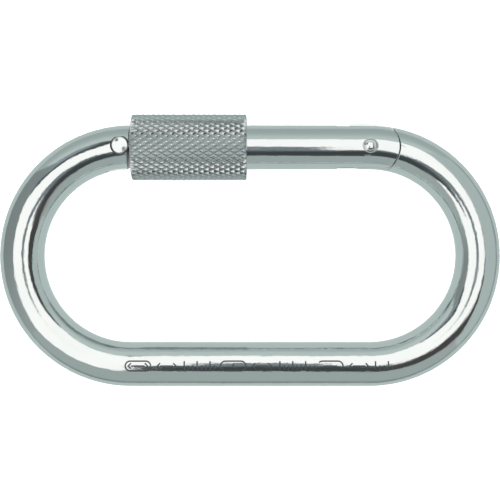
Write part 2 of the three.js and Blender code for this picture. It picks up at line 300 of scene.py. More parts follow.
def stroke(points, width, closed=False):
    """Two rows of points, either side of a line, with mitred corners."""
    points = np.asarray(points, float)
    step = np.roll(points, -1, axis=0) - points
    step /= np.linalg.norm(step, axis=1)[:, None]
    before = np.roll(step, 1, axis=0)
    if not closed:
        step[-1] = before[-1]
        before[0] = step[0]
    across = np.stack([-(before + step)[:, 1], (before + step)[:, 0]], axis=1)
    across /= (1 + (before * step).sum(axis=1))[:, None]
    return points + across * width / 2, points - across * width / 2


def stroke_prisms(name, strokes, width, low, high):
    """Every stroke, a line of points and whether it is closed, as a solid from low to high."""
    vertices, faces = [], []
    for points, closed in strokes:
        left, right = stroke(points, width, closed)
        count = len(points)
        base = len(vertices)
        for row, z in ((left, low), (right, low), (right, high), (left, high)):
            vertices += [(x, y, z) for x, y in row]
        for i in range(count if closed else count - 1):
            following = (i + 1) % count
            for a, b in ((0, 1), (1, 2), (2, 3), (3, 0)):
                first, second = base + a * count, base + b * count
                faces.append((first + i, second + i, second + following, first + following))
        if not closed:
            faces.append(tuple(base + row * count for row in (3, 2, 1, 0)))
            faces.append(tuple(base + row * count + count - 1 for row in (0, 1, 2, 3)))
    obj = make_object(name, vertices, faces)
    mesh = bmesh.new()
    mesh.from_mesh(obj.data)
    bmesh.ops.recalc_face_normals(mesh, faces=mesh.faces)
    mesh.to_mesh(obj.data)
    mesh.free()
    return obj


def round_edges(obj, width, weight_of):
    """Rounds sharp edges: weight_of gives each edge's share of width from its middle point."""
    merge_close(obj, 0.01)
    mesh = bmesh.new()
    mesh.from_mesh(obj.data)
    layer = mesh.edges.layers.float.new("bevel_weight_edge")
    for edge in mesh.edges:
        if len(edge.link_faces) == 2 and edge.calc_face_angle() > ROUNDED_ANGLE:
            edge[layer] = weight_of((edge.verts[0].co + edge.verts[1].co) / 2)
    mesh.to_mesh(obj.data)
    mesh.free()
    modifier = obj.modifiers.new("round", "BEVEL")
    modifier.limit_method = "WEIGHT"
    modifier.width = width
    modifier.segments = 3
    modifier.use_clamp_overlap = False
    apply_modifiers(obj)
    merge_close(obj, 0.002)


def bar_surface(points):
    """Distance outside the bar's round surface, and its normal, for points in millimetres."""
    x, y = points[:, 0], points[:, 1] - OVAL_Y
    centre_x = np.clip(x, -BOW_X, BOW_X)
    reach = np.hypot(x - centre_x, y)
    line = np.stack([x - centre_x, y, np.zeros_like(x)], axis=1) / np.maximum(reach, 1e-9)[:, None]
    centre = line * BOW_R
    centre[:, 0] += centre_x
    centre[:, 1] += OVAL_Y
    out = points - centre
    length = np.linalg.norm(out, axis=1)
    return length - BAR_R, out / np.maximum(length, 1e-9)[:, None]


def bar_coordinates(points):
    """Length along the oval from the middle of its spine, and place across the bar."""
    x, y = points[:, 0], points[:, 1] - OVAL_Y
    centre_x = np.clip(x, -BOW_X, BOW_X)
    angle = np.arctan2(y, np.abs(x - centre_x))
    bow_length = BOW_R * (angle + math.pi / 2)
    along = np.where(np.abs(x) > BOW_X, np.sign(x) * (BOW_X + bow_length), x)
    side = np.where((y > 0) & (np.abs(x) <= BOW_X), 200.0, 0.0)
    across = np.hypot(x - centre_x, y) - BOW_R
    return np.stack([along + side, across, points[:, 2]], axis=1)


def round_groove_floors(mesh):
    """Shades the grooves' floors as rounded, finding them by the painted shade value, which grows with a
    groove's depth.
    """
    painted_shade = np.zeros(len(mesh.vertices))
    mesh.attributes["painted_shade"].data.foreach_get("value", painted_shade)
    ends = np.zeros(2 * len(mesh.edges), np.int64)
    mesh.edges.foreach_get("vertices", ends)
    sharp = np.zeros(len(mesh.edges), bool)
    mesh.attributes["sharp_edge"].data.foreach_get("value", sharp)
    sharp &= painted_shade[ends.reshape(-1, 2)].min(axis=1) < 0.95
    mesh.attributes["sharp_edge"].data.foreach_set("value", sharp)


def set_normals(obj, surface, sharp):
    """Smooth shading with edges over sharp degrees kept, and exact normals on the given surface."""
    mesh = obj.data
    mesh.shade_smooth()
    mesh.set_sharp_from_angle(angle=math.radians(sharp))
    if "painted_shade" in mesh.attributes:
        round_groove_floors(mesh)
    if surface is None:
        return
    loops = len(mesh.loops)
    normals = np.zeros(loops * 3)
    mesh.corner_normals.foreach_get("vector", normals)
    normals = normals.reshape(-1, 3)
    index = np.zeros(loops, np.int64)
    mesh.loops.foreach_get("vertex_index", index)
    points = np.zeros(len(mesh.vertices) * 3)
    mesh.vertices.foreach_get("co", points)
    points = points.reshape(-1, 3) / MM
    face_normals = np.zeros(len(mesh.polygons) * 3)
    mesh.polygons.foreach_get("normal", face_normals)
    totals = np.zeros(len(mesh.polygons), np.int64)
    mesh.polygons.foreach_get("loop_total", totals)
    own_face = np.repeat(face_normals.reshape(-1, 3), totals, axis=0)
    distance, exact = surface(points)
    near = np.abs(distance[index]) < NEAR_SURFACE
    aligned = (own_face * exact[index]).sum(axis=1) > math.cos(NEAR_NORMAL)
    chosen = near & aligned
    normals[chosen] = exact[index][chosen]
    mesh.normals_split_custom_set(normals.tolist())


def store_grain(obj):
    """Keeps where each point lies along and across the metal's polishing lines, in millimetres."""
    points = np.zeros(len(obj.data.vertices) * 3)
    obj.data.vertices.foreach_get("co", points)
    grain = bar_coordinates(points.reshape(-1, 3) / MM)
    attribute = obj.data.attributes.new("grain", "FLOAT_VECTOR", "POINT")
    attribute.data.foreach_set("vector", grain.astype(np.float32).ravel())


def finish_piece(obj, body, node, materials, surface=None, sharp=32):
    obj.data.transform(Matrix.Scale(MM, 4))
    for i, material in enumerate(materials):
        if i < len(obj.data.materials):
            obj.data.materials[i] = material
        else:
            obj.data.materials.append(material)
    set_normals(obj, surface, sharp)
    store_grain(obj)
    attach(obj, body)
    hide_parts(node)
    return obj


# Materials

class Nodes:
    """A short way to write a node tree."""

    def __init__(self, tree):
        self.tree = tree
        tree.nodes.clear()

    def add(self, kind, settings=None, **inputs):
        node = self.tree.nodes.new(kind)
        for key, value in (settings or {}).items():
            setattr(node, key, value)
        for key, value in inputs.items():
            self.put(node, key.replace("_", " "), value)
        return node

    def put(self, node, key, value):
        socket = node.inputs[int(key)] if key.isdigit() else node.inputs[key]
        if isinstance(value, bpy.types.NodeSocket):
            self.tree.links.new(value, socket)
        else:
            socket.default_value = value

    def math(self, operation, *values):
        node = self.tree.nodes.new("ShaderNodeMath")
        node.operation = operation
        for i, value in enumerate(values):
            self.put(node, str(i), value)
        return node.outputs[0]

    def scaled(self, vector, scale):
        node = self.add("ShaderNodeMapping", Vector=vector, Scale=scale)
        return node.outputs["Vector"]

    def noise(self, vector, scale, detail=2.0, roughness=0.5):
        node = self.add(
            "ShaderNodeTexNoise", Vector=vector, Scale=scale, Detail=detail, Roughness=roughness
        )
        return node.outputs["Fac"]

    def band(self, value, start, end, low=0.0, high=1.0):
        """low below start, high above end, and smooth between them."""
        node = self.tree.nodes.new("ShaderNodeMapRange")
        node.interpolation_type = "SMOOTHSTEP"
        for i, item in enumerate((value, start, end, low, high)):
            self.put(node, str(i), item)
        return node.outputs["Result"]


def new_material(name):
    material = bpy.data.materials.new(name)
    material.use_nodes = True
    return material, Nodes(material.node_tree)


def steel(name, colour, roughness, streak, wave, stain=0.5):
    """Steel with polishing lines along the grain, waviness, smears and nicks, and painted shade where
    the painted_shade attribute is set: in the knurl's grooves and on the sleeve's end corners.
    """
    material, n = new_material(name)
    grain = n.add("ShaderNodeAttribute", {"attribute_name": "grain"}).outputs["Vector"]
    lines = n.noise(n.scaled(grain, (0.05, 1, 1)), 7.0, 3.0, 0.6)
    fine = n.noise(n.scaled(grain, (0.12, 1, 1)), 22.0, 2.0, 0.5)
    mottle = n.noise(n.scaled(grain, (0.22, 1, 1)), 1.7, 2.0, 0.6)
    slow = n.noise(n.scaled(grain, (0.16, 1, 1)), 0.3, 1.0, 0.4)
    smear = n.noise(n.scaled(grain, (0.5, 1, 1)), 0.22, 4.0, 0.55)
    nick = n.noise(n.scaled(grain, (0.7, 1, 1)), 3.1, 3.0, 0.7)
    nicks = n.band(nick, 0.70, 0.78)
    rough = n.math("MULTIPLY_ADD", n.band(lines, 0.35, 0.75), streak, roughness)
    rough = n.math("MULTIPLY_ADD", n.band(smear, 0.45, 0.75), 0.05, rough)
    rough = n.math("MULTIPLY_ADD", nicks, 0.08, rough)
    height = n.math("MULTIPLY", lines, 0.35)
    height = n.math("MULTIPLY_ADD", fine, 0.15, height)
    height = n.math("MULTIPLY_ADD", mottle, 24.0 * wave, height)
    height = n.math("MULTIPLY_ADD", slow, 60.0 * wave, height)
    height = n.math("MULTIPLY_ADD", nicks, -0.8, height)
    bump = n.add("ShaderNodeBump", Height=height, Strength=1.0, Distance=0.0000012)
    tint = n.add("ShaderNodeMix", {"data_type": "RGBA"})
    n.put(tint, "0", n.math("MULTIPLY", smear, stain))
    tint.inputs[6].default_value = (*colour, 1)
    tint.inputs[7].default_value = (*(c * f for c, f in zip(colour, (0.86, 0.89, 0.90))), 1)
    # Painted shade: the painted_shade attribute darkens the colour towards dark grey and roughens it.
    painted_shade = n.add("ShaderNodeAttribute", {"attribute_name": "painted_shade"}).outputs["Fac"]
    rough = n.math("MULTIPLY_ADD", painted_shade, 0.22, rough)
    painted_shade_mix = n.add("ShaderNodeMix", {"data_type": "RGBA"})
    n.put(painted_shade_mix, "0", n.math("POWER", painted_shade, 2.0))
    n.put(painted_shade_mix, "6", tint.outputs[2])
    painted_shade_mix.inputs[7].default_value = (0.30, 0.34, 0.35, 1)
    shader = n.add(
        "ShaderNodeBsdfPrincipled",
        Base_Color=painted_shade_mix.outputs[2],
        Metallic=1.0,
        Roughness=rough,
        Normal=bump.outputs["Normal"],
    )
    n.add("ShaderNodeOutputMaterial", Surface=shader.outputs[0])
    return material


def etched_steel():
    """The matt floor of the marks cut in the spine, and painted shade on the walls and floors of the
    latch rivet's pockets.
    """
    material, n = new_material("etched_steel")
    grain = n.add("ShaderNodeAttribute", {"attribute_name": "grain"}).outputs["Vector"]
    pits = n.noise(grain, 9.0, 3.0, 0.6)
    ramp = n.add("ShaderNodeMix", {"data_type": "RGBA"})
    n.put(ramp, "0", pits)
    ramp.inputs[6].default_value = (0.07, 0.08, 0.09, 1)
    ramp.inputs[7].default_value = (0.20, 0.21, 0.22, 1)
    bump = n.add("ShaderNodeBump", Height=pits, Strength=1.0, Distance=0.00002)
    shader = n.add(
        "ShaderNodeBsdfPrincipled",
        Base_Color=ramp.outputs[2],
        Metallic=1.0,
        Roughness=n.math("MULTIPLY_ADD", pits, 0.2, 0.45),
        Normal=bump.outputs["Normal"],
    )
    n.add("ShaderNodeOutputMaterial", Surface=shader.outputs[0])
    return material


# The frame: bent bar, nose and hinge blade

def hinge_outline(radius, left):
    """The cheeks' space: a disc about the pivot joined to a block that runs left of it."""
    right_side = arc(PIVOT_X, PIVOT_Y, radius, -90, 90, 96)
    return [
        (left, PIVOT_Y - OUTSIDE),
        (PIVOT_X, PIVOT_Y - OUTSIDE),
        *right_side,
        (PIVOT_X, PIVOT_Y + OUTSIDE),
        (left, PIVOT_Y + OUTSIDE),
    ]


def left_of_blade():
    """What is cut off left of the blade: a straight edge, then the involute cam, then the foot."""
    cam = []
    for angle in np.linspace(0, CAM_ANGLE, 25):
        reach = BLADE_EDGE + CAM_RISE * angle
        x = PIVOT_X - reach * math.cos(angle) + CAM_RISE * math.sin(angle)
        y = PIVOT_Y - reach * math.sin(angle) - CAM_RISE * math.cos(angle)
        cam.append((x, y))
    return [
        (PIVOT_X - BLADE_EDGE, PIVOT_Y + OUTSIDE),
        (PIVOT_X - OUTSIDE, PIVOT_Y + OUTSIDE),
        (PIVOT_X - OUTSIDE, PIVOT_Y - OUTSIDE),
        (BLADE_FOOT_X, PIVOT_Y - OUTSIDE),
        (BLADE_FOOT_X, PIVOT_Y - BAR_R),
        *reversed(cam),
    ]


def blade_crest():
    """The blade's top, a little proud of the bar, sloping down into the bow."""
    left = PIVOT_X - BLADE_EDGE
    return [
        (left - 1.2, PIVOT_Y),
        (PIVOT_X + CREST_END, PIVOT_Y),
        (PIVOT_X + CREST_END, PIVOT_Y + CREST_END_RISE),
        (PIVOT_X - 1, PIVOT_Y + CREST_RISE),
        (left + CREST_CHAMFER, PIVOT_Y + CREST_RISE),
        (left - 1.2, PIVOT_Y + CREST_RISE - CREST_CHAMFER - 1.2),
    ]


def beyond_nose():
    """What is cut off the nose: an arc about the pivot above, and a straight end with a round corner."""
    lip = math.degrees(math.asin(LIP_DROP / LIP_SWING_R))
    top = math.degrees(math.asin(OUTSIDE / LIP_SWING_R))
    corner_y = PIVOT_Y - BAR_R + NOSE_CORNER
    corner = arc(NOSE_X - NOSE_CORNER, corner_y, NOSE_CORNER, 0, -90, 10)
    return [
        *arc(PIVOT_X, PIVOT_Y, LIP_SWING_R, 180 - top, 180 + lip, 24),
        (NOSE_X, PIVOT_Y - LIP_DROP),
        *corner,
        (NOSE_X - NOSE_CORNER, PIVOT_Y - OUTSIDE),
        (TONGUE_ROOT_X + 2, PIVOT_Y - OUTSIDE),
        (TONGUE_ROOT_X + 2, PIVOT_Y + OUTSIDE),
    ]


def pin_hole(radius, x, y, low=-OUTSIDE, high=OUTSIDE):
    return turned("hole", [(radius, low), (radius, high)], x, y)


def arrow(x0, y0, x1, y1):
    """A line with an open head at each end, as strokes that don't touch."""
    start, end = np.array([x0, y0]), np.array([x1, y1])
    along = (end - start) / np.linalg.norm(end - start)
    side = np.array([-along[1], along[0]])
    strokes = [([start + 0.8 * along, end - 0.8 * along], False)]
    for tip, way in ((start, along), (end, -along)):
        strokes.append(([tip + 0.75 * (way + side), tip, tip + 0.75 * (way - side)], False))
    return strokes


def oval_line(x, half_length, half_height):
    """An oval's outline about a point of the spine."""
    flat = half_length - half_height
    right = arc(x + flat, SPINE_Y, half_height, -90, 90, 12)
    left = arc(x - flat, SPINE_Y, half_height, 90, 270, 12)
    return right + left


def spine_marks(material):
    """Generic pictograms of an oval's strength along, across and with an open gate, and ticks."""
    high, low = SPINE_Y + MARK_HALF, SPINE_Y - MARK_HALF
    strokes = [(oval_line(x, 3.4, MARK_HALF), True) for x in MARK_OVALS[:2]]
    strokes.append((oval_line(MARK_OVALS[2], 3.4, MARK_HALF)[3:-9], False))
    strokes += arrow(MARK_OVALS[0] - 2.6, SPINE_Y, MARK_OVALS[0] + 2.6, SPINE_Y)
    for x in MARK_OVALS:
        strokes += arrow(x + 5.2, SPINE_Y, x + 10.2, SPINE_Y)
    strokes += [([(MARK_OVALS[1], low + 0.7), (MARK_OVALS[1], high - 0.7)], False)]
    strokes += [([(MARK_OVALS[2] - 1.9, SPINE_Y), (MARK_OVALS[2] + 1.9, SPINE_Y)], False)]
    for first, count in MARK_TICKS:
        for i in range(count):
            x = first + i * 1.15
            top = high if i % 3 == 0 else SPINE_Y + 0.2
            strokes.append(([(x, low), (x, top)], False))
    cut = stroke_prisms("marks", strokes, MARK_WIDTH, 3.0, OUTSIDE)
    cut.data.materials.append(material)
    core = [(BAR_R - MARK_DEPTH, MARK_OVALS[0] - 20), (BAR_R - MARK_DEPTH, MARK_OVALS[-1] + 30)]
    combine(cut, turned_on_x("core", core, SPINE_Y, 4 * BAR_SIDES))
    return cut


def build_frame_bar(bar_material, mark_and_shade_material):
    stations = [
        station(TONGUE_ROOT_X, PIVOT_Y, math.pi),
        *bow_stations(-BOW_X, 90, 270, BOW_STEPS),
        *straight_stations(np.linspace(-BOW_X, BOW_X, 22)[1:-1], SPINE_Y),
        *bow_stations(BOW_X, -90, 90, BOW_STEPS),
        station(PIVOT_X - BLADE_EDGE - 1, PIVOT_Y, math.pi),
    ]
    bar = ring_object("frame_bar_steel", bar_rings(stations))
    bar.data.materials.append(bar_material)
    combine(bar, prism("crest", blade_crest(), -BLADE_HALF - 0.5, BLADE_HALF + 0.5), "UNION")
    combine(bar, prism("cut", left_of_blade(), -OUTSIDE, OUTSIDE))
    outline = hinge_outline(RECESS_R, PIVOT_X - OUTSIDE)
    combine(bar, prism("cut", outline, BLADE_HALF, OUTSIDE))
    combine(bar, prism("cut", outline, -OUTSIDE, -BLADE_HALF))
    combine(bar, prism("cut", beyond_nose(), -OUTSIDE, OUTSIDE))
    slot = (NOSE_SLOT_X, TONGUE_ROOT_X, PIVOT_Y - OUTSIDE, PIVOT_Y + NOSE_SLOT_TOP)
    combine(bar, box("cut", *slot, -NOSE_SLOT_HALF, NOSE_SLOT_HALF))
    combine(bar, pin_hole(RUNNING_R, PIVOT_X, PIVOT_Y))
    combine(bar, pin_hole(HOLE_R, LATCH_X, LATCH_Y))
    for low, high in ((LATCH_FLOOR_Z, OUTSIDE), (-OUTSIDE, -LATCH_FLOOR_Z)):
        pocket = pin_hole(LATCH_POCKET_R, LATCH_X, LATCH_Y, low, high)
        # The pockets take the dark etched material: painted shade on their walls and floors.
        pocket.data.materials.append(mark_and_shade_material)
        combine(bar, pocket)

    def weight(point):
        from_pivot = math.hypot(point.x - PIVOT_X, point.y - PIVOT_Y)
        if abs(from_pivot - RECESS_R) < 0.05 and abs(point.z) > BLADE_HALF + 0.1:
            return 0.3
        on_crest = from_pivot < RECESS_R and point.y > PIVOT_Y + CREST_END_RISE - 1
        by_latch = math.hypot(point.x - LATCH_X, point.y - LATCH_Y) < LATCH_POCKET_R + 0.1
        return 0.0 if on_crest or by_latch else 0.3

    round_edges(bar, BAR_ROUND, weight)
    combine(bar, spine_marks(mark_and_shade_material))
    return bar


# The gate

def thread_radius(x, theta, crest, root, start):
    """A screw thread's outside: x and theta are arrays that fit each other."""
    turn = (x - start) / PITCH - theta / (2 * math.pi)
    off_crest = PITCH * np.abs(turn - np.round(turn))
    return np.clip(crest - (off_crest - CREST_HALF) / FLANK, root, crest)


def gate_outer():
    """Stations and radii of the gate before it is cut: thread, relief, shoulder and plain bar."""
    thread_xs = np.arange(GATE_END_X, RELIEF_X, PITCH / 14)
    relief = [RELIEF_X, -9.0, -6.0, -3.0, SHOULDER_X - 0.35]
    shoulder = [SHOULDER_X - 0.2, SHOULDER_X - 0.05, SHOULDER_X, SHOULDER_X + 0.12, SHOULDER_X + 0.3]
    plain = np.linspace(SHOULDER_X + 2, BOW_X, 18)[:-1]
    xs = np.concatenate([[GATE_END_X], thread_xs, relief, shoulder, plain])
    theta = np.linspace(0, 2 * math.pi, BAR_SIDES, endpoint=False)
    radius = thread_radius(xs[:, None], theta, BAR_R, ROOT_R, THREAD_START_X)
    lead_in = ROOT_R - 0.7 + 0.9 * (xs - GATE_END_X)
    run_out = np.interp(xs, [THREAD_STOP_X, RELIEF_X], [BAR_R, RELIEF_R])
    radius = np.minimum(radius, np.minimum(lead_in, run_out)[:, None])
    relief_r = np.full_like(xs, RELIEF_R)
    relief_r[xs > SHOULDER_X - 0.3] = RELIEF_R + 0.1
    relief_r[xs > SHOULDER_X - 0.1] = RELIEF_R + 0.35
    relief_r[xs > SHOULDER_X - 0.01] = BAR_R - 0.12
    relief_r[xs > SHOULDER_X + 0.1] = BAR_R - 0.02
    relief_r[xs > SHOULDER_X + 0.2] = BAR_R
    radius = np.where((xs >= RELIEF_X)[:, None], relief_r[:, None], radius)
    stations = straight_stations(xs, PIVOT_Y) + bow_stations(BOW_X, 90, 66, 8)
    radius = np.concatenate([radius, np.full((9, BAR_SIDES), BAR_R)])
    return stations, radius


def tongue_outline():
    """The tongue with its notch for the latch rivet, counter-clockwise."""
    top = PIVOT_Y + TONGUE_TOP
    bottom = PIVOT_Y + TONGUE_BOTTOM
    tip = TONGUE_TIP_X
    corner = TONGUE_CORNER
    return [
        (TONGUE_ROOT_X, bottom),
        (TONGUE_ROOT_X, top),
        (LATCH_X + NOTCH_R, top),
        *arc(LATCH_X, LATCH_Y, NOTCH_R, 0, -180, 24),
        (LATCH_X - NOTCH_R, top),
        *arc(tip + corner, top - corner, corner, 90, 180, 6),
        *arc(tip + corner, bottom + corner, corner, 180, 270, 6),
    ]


def countersink(side):
    """The cone that the hinge rivet is riveted into, above or below."""
    points = [(HOLE_R, 4.9), (COUNTERSINK_R, BAR_R), (COUNTERSINK_R + 6, BAR_R + 6)]
    profile = [(radius, side * z) for radius, z in points]
    return turned("cut", profile if side > 0 else profile[::-1], PIVOT_X, PIVOT_Y)


def build_gate(gate_material, shaded_inner_material):
    stations, radius = gate_outer()
    gate = ring_object("gate_steel", bar_rings(stations, radius))
    gate.data.materials.append(gate_material)
    combine(gate, prism("keep", hinge_outline(CHEEK_END_R, -60), -OUTSIDE, OUTSIDE), "INTERSECT")
    milled = box("slot", SLOT_X, 60, PIVOT_Y - OUTSIDE, PIVOT_Y + OUTSIDE, -SLOT_HALF, SLOT_HALF)
    # The slot's faces and the tongue take the darker inner steel: its dark colour is painted shade.
    milled.data.materials.append(shaded_inner_material)
    combine(gate, milled)
    bore_end = SPRING_LOW.x - 0.1
    bore = [(0, bore_end - 0.9), (2.0, bore_end), (2.0, SLOT_X + 1)]
    combine(gate, turned_on_x("cut", bore, PLUNGER_Y, 48))
    combine(gate, pin_hole(HOLE_R, PIVOT_X, PIVOT_Y))
    combine(gate, countersink(1))
    combine(gate, countersink(-1))
    tongue = prism("tongue", tongue_outline()[::-1], -TONGUE_HALF, TONGUE_HALF)
    tongue.data.materials.append(shaded_inner_material)
    combine(gate, tongue, "UNION")

    def weight(point):
        if math.hypot(point.x - PIVOT_X, point.y - PIVOT_Y) < COUNTERSINK_R + 0.1:
            return 0.3
        if point.x > 0:
            return 1.0
        return 0.5 if point.x < GATE_END_X - 0.1 else 0.0

    round_edges(gate, GATE_ROUND, weight)
    return gate


# The sleeve

def from_diamond(index):
    """Steps from the middle of a row of diamonds, for an index that rises across the rows."""
    half = KNURL_SAMPLES // 2
    return np.abs((index + half) % KNURL_SAMPLES - half)


def sleeve_end_profile():
    """Distance from the end face and radius: a nearly flat face, then a rounded corner."""
    corner = arc(SLEEVE_CONE + SLEEVE_CORNER, SLEEVE_R - SLEEVE_CORNER, SLEEVE_CORNER, 180, 90, 5)
    face = [(0.0, SLEEVE_BORE_R + 0.15), (0.02, SLEEVE_BORE_R + 0.4), (0.05, 7.8)]
    return face + corner[:-1]


def sleeve_inner_profile():
    """The bore from right to left: (radius, x, whether the thread's ridge stands in it)."""
    right, left = SLEEVE_HIGH.x, SLEEVE_LOW.x
    groove = (RING_LOW.x + RING_HIGH.x) / 2
    points = [
        (SLEEVE_BORE_R, right - 0.15),
        (SLEEVE_BORE_R, groove + GROOVE_HALF),
        (GROOVE_R, groove + GROOVE_HALF),
        (GROOVE_R, groove - GROOVE_HALF),
        (SLEEVE_BORE_R, groove - GROOVE_HALF),
        (SLEEVE_BORE_R, NUT_END_X),
    ]
    points += [(NUT_BASE_R, x) for x in np.arange(NUT_END_X, NUT_START_X, -PITCH / 14)]
    points += [(NUT_BASE_R, NUT_START_X), (SLEEVE_BORE_R, NUT_START_X), (SLEEVE_BORE_R, left + 0.15)]
    return np.array(points)


def build_sleeve():
    """The knurled outside, the bore with its thread and groove, and the two end faces between."""
    left, right = SLEEVE_LOW.x, SLEEVE_HIGH.x
    end = sleeve_end_profile()
    step = KNURL_PITCH / KNURL_SAMPLES
    first = math.ceil((left + SLEEVE_CONE + SLEEVE_CORNER) / step)
    last = math.floor((right - SLEEVE_CONE - SLEEVE_CORNER) / step)
    rows = np.arange(first, last + 1)
    columns = np.arange(KNURL_TEETH * KNURL_SAMPLES)
    sides = len(columns)
    xs = np.array([left + d for d, _ in end] + list(rows * step) + [right - d for d, _ in end[::-1]])
    row_of = np.interp(xs / step, rows, rows).round().astype(int)
    cap = np.array([r for _, r in end] + [SLEEVE_R] * len(rows) + [r for _, r in end[::-1]])
    up = from_diamond(columns + row_of[:, None])
    down = from_diamond(columns - row_of[:, None])
    drop = KNURL_DROP[np.maximum(up, down)]
    knurled = np.minimum(cap[:, None], SLEEVE_R - drop)
    outer = bar_rings(straight_stations(xs, PIVOT_Y), knurled, sides)
    inner_profile = sleeve_inner_profile()
    inner_sides = sides // 2
    inner_theta = np.linspace(0, 2 * math.pi, inner_sides, endpoint=False)
    inner_x = inner_profile[:, 1]
    inner_r = np.repeat(inner_profile[:, :1], inner_sides, axis=1)
    turn = (inner_x[:, None] - THREAD_START_X) / PITCH - inner_theta / (2 * math.pi) + 0.5
    off_tip = PITCH * np.abs(turn - np.round(turn))
    ridge = NUT_TIP_R + np.clip(off_tip - NUT_TIP_HALF, 0, None) / FLANK
    threaded = (inner_x > NUT_START_X + 0.4) & (inner_x < NUT_END_X - 0.4)
    inner_r = np.where(threaded[:, None], np.minimum(inner_r, ridge), inner_r)
    inner = bar_rings(straight_stations(inner_x, PIVOT_Y), inner_r, inner_sides)
    vertices = np.concatenate([outer.reshape(-1, 3), inner.reshape(-1, 3)])
    faces = []
    for i in range(len(xs) - 1):
        for a, b, c, d in ring_faces(i * sides, (i + 1) * sides, sides):
            k = a - i * sides
            if from_diamond(k - row_of[i]) > from_diamond(k + row_of[i] + 1):
                faces += [(a, b, c), (a, c, d)]
            else:
                faces += [(b, c, d), (b, d, a)]
    base = len(xs) * sides
    for i in range(len(inner_x) - 1):
        faces += ring_faces(base + i * inner_sides, base + (i + 1) * inner_sides, inner_sides)
    last_inner = base + (len(inner_x) - 1) * inner_sides
    last_outer = (len(xs) - 1) * sides
    for k in range(inner_sides):
        following = (k + 1) % inner_sides
        outer_run = [(2 * k + j) % sides for j in range(3)]
        faces.append((last_inner + k, last_inner + following, *outer_run[::-1]))
        faces.append((base + following, base + k, *(last_outer + j for j in outer_run)))
    sleeve = make_object("locking_sleeve_steel", vertices, faces)
    merge_close(sleeve, 1e-4)
    # Painted shade: darker the deeper a point lies in the knurl's grooves, and a fixed amount on the
    # rounded end corners.
    points = np.array([vertex.co for vertex in sleeve.data.vertices])
    depth = SLEEVE_R - np.hypot(points[:, 1] - PIVOT_Y, points[:, 2])
    from_end = np.minimum(points[:, 0] - left, right - points[:, 0])
    on_corner = (from_end > 0.01) & (from_end <= SLEEVE_CONE + SLEEVE_CORNER)
    painted_shade = np.where((depth < 1) & ~on_corner, depth / KNURL_DROP[-1], 0.7 * on_corner)
    attribute = sleeve.data.attributes.new("painted_shade", "FLOAT", "POINT")
    attribute.data.foreach_set("value", painted_shade.astype(np.float32))
    return sleeve


# Rivets, plunger, spring and ring

def mirrored(upper):
    """The upper half of a profile, after its mirror image below."""
    return [(radius, -z) for radius, z in upper[::-1]] + list(upper)


def build_latch_rivet():
    """A pin with a low domed head in each pocket."""
    head_r = (LATCH_HIGH.x - LATCH_LOW.x) / 2
    rim = LATCH_FLOOR_Z + 0.1
    dome_r = 11.0
    edge_r = 0.4
    slope = math.asin((head_r - edge_r) / dome_r)
    cap = [(dome_r * math.sin(a), LATCH_TOP_Z - dome_r * (1 - math.cos(a)))
           for a in np.linspace(slope, 0, 8)]
    edge = arc(head_r - edge_r, cap[0][1] - edge_r * math.cos(slope), edge_r, 0, 90, 8)
    upper = [(SHANK_R, 0.1), (SHANK_R, rim - 0.05), (SHANK_R + 0.1, rim), (head_r - 0.08, rim)]
    upper.append((head_r, rim + 0.08))
    return turned("latch_rivet_steel", mirrored(upper + edge[:-1] + cap), LATCH_X, LATCH_Y)


def build_hinge_rivet():
    """A shank flared into the countersinks, dished, with a round button left standing in each."""
    dome_r = 3.0
    button = [(dome_r * math.sin(a), 5.85 - dome_r * (1 - math.cos(a)))
              for a in np.radians(np.linspace(22, 0, 10))]
    flare = [(SHANK_R, 0.1), (SHANK_R, 4.88), (1.98, 5.76), (1.92, 5.78), (1.3, 5.3), (1.24, 5.34)]
    return turned("hinge_rivet_steel", mirrored(flare + button), PIVOT_X, PIVOT_Y)


def build_plunger():
    x0, x1 = PLUNGER_LOW.x, PLUNGER_HIGH.x
    shoulder = SPRING_HIGH.x + 0.1
    radius = (PLUNGER_HIGH.z - PLUNGER_LOW.z) / 2
    spigot = 0.9
    profile = [
        (0, x0), (spigot - 0.2, x0), (spigot, x0 + 0.25), (spigot, shoulder), (radius - 0.2, shoulder),
        (radius, shoulder + 0.2), (radius, x1 - 0.35), (radius - 0.1, x1 - 0.12),
        (radius - 0.35, x1), (0, x1),
    ]
    return turned_on_x("gate_plunger_steel", profile, PLUNGER_Y, 48)


def wire(name, centres, radius, sides):
    """A round wire through a list of points: frames come from the line's own bends."""
    centres = np.asarray(centres, float)
    tangent = np.gradient(centres, axis=0)
    tangent /= np.linalg.norm(tangent, axis=1)[:, None]
    axis = np.array([1.0, 0, 0])
    side = np.cross(tangent, axis)
    side /= np.linalg.norm(side, axis=1)[:, None]
    up = np.cross(tangent, side)
    theta = np.linspace(0, 2 * math.pi, sides, endpoint=False)[None, :, None]
    ring = np.cos(theta) * side[:, None] + np.sin(theta) * up[:, None]
    ends = np.ones(len(centres))
    ends[[0, -1]] = 0.55
    ends[[1, -2]] = 0.9
    rings = centres[:, None] + ring * (radius * ends)[:, None, None]
    return ring_object(name, rings)


def build_spring():
    """A compression spring whose end coils are closed and lie against their seats."""
    wire_r = 0.3
    coil_r = (SPRING_HIGH.z - SPRING_LOW.z) / 2 - wire_r
    turns = 11
    per_turn = 36
    t = np.linspace(0, 1, turns * per_turn + 1)
    along = np.interp(t * turns, [0, 1.1, turns - 1.1, turns], [0, 0.065, 0.935, 1])
    x = SPRING_LOW.x + wire_r + along * (SPRING_HIGH.x - SPRING_LOW.x - 2 * wire_r)
    angle = t * turns * 2 * math.pi
    centres = np.stack([x, PLUNGER_Y + coil_r * np.cos(angle), coil_r * np.sin(angle)], axis=1)
    return wire("gate_spring_wire", centres, wire_r, 12)


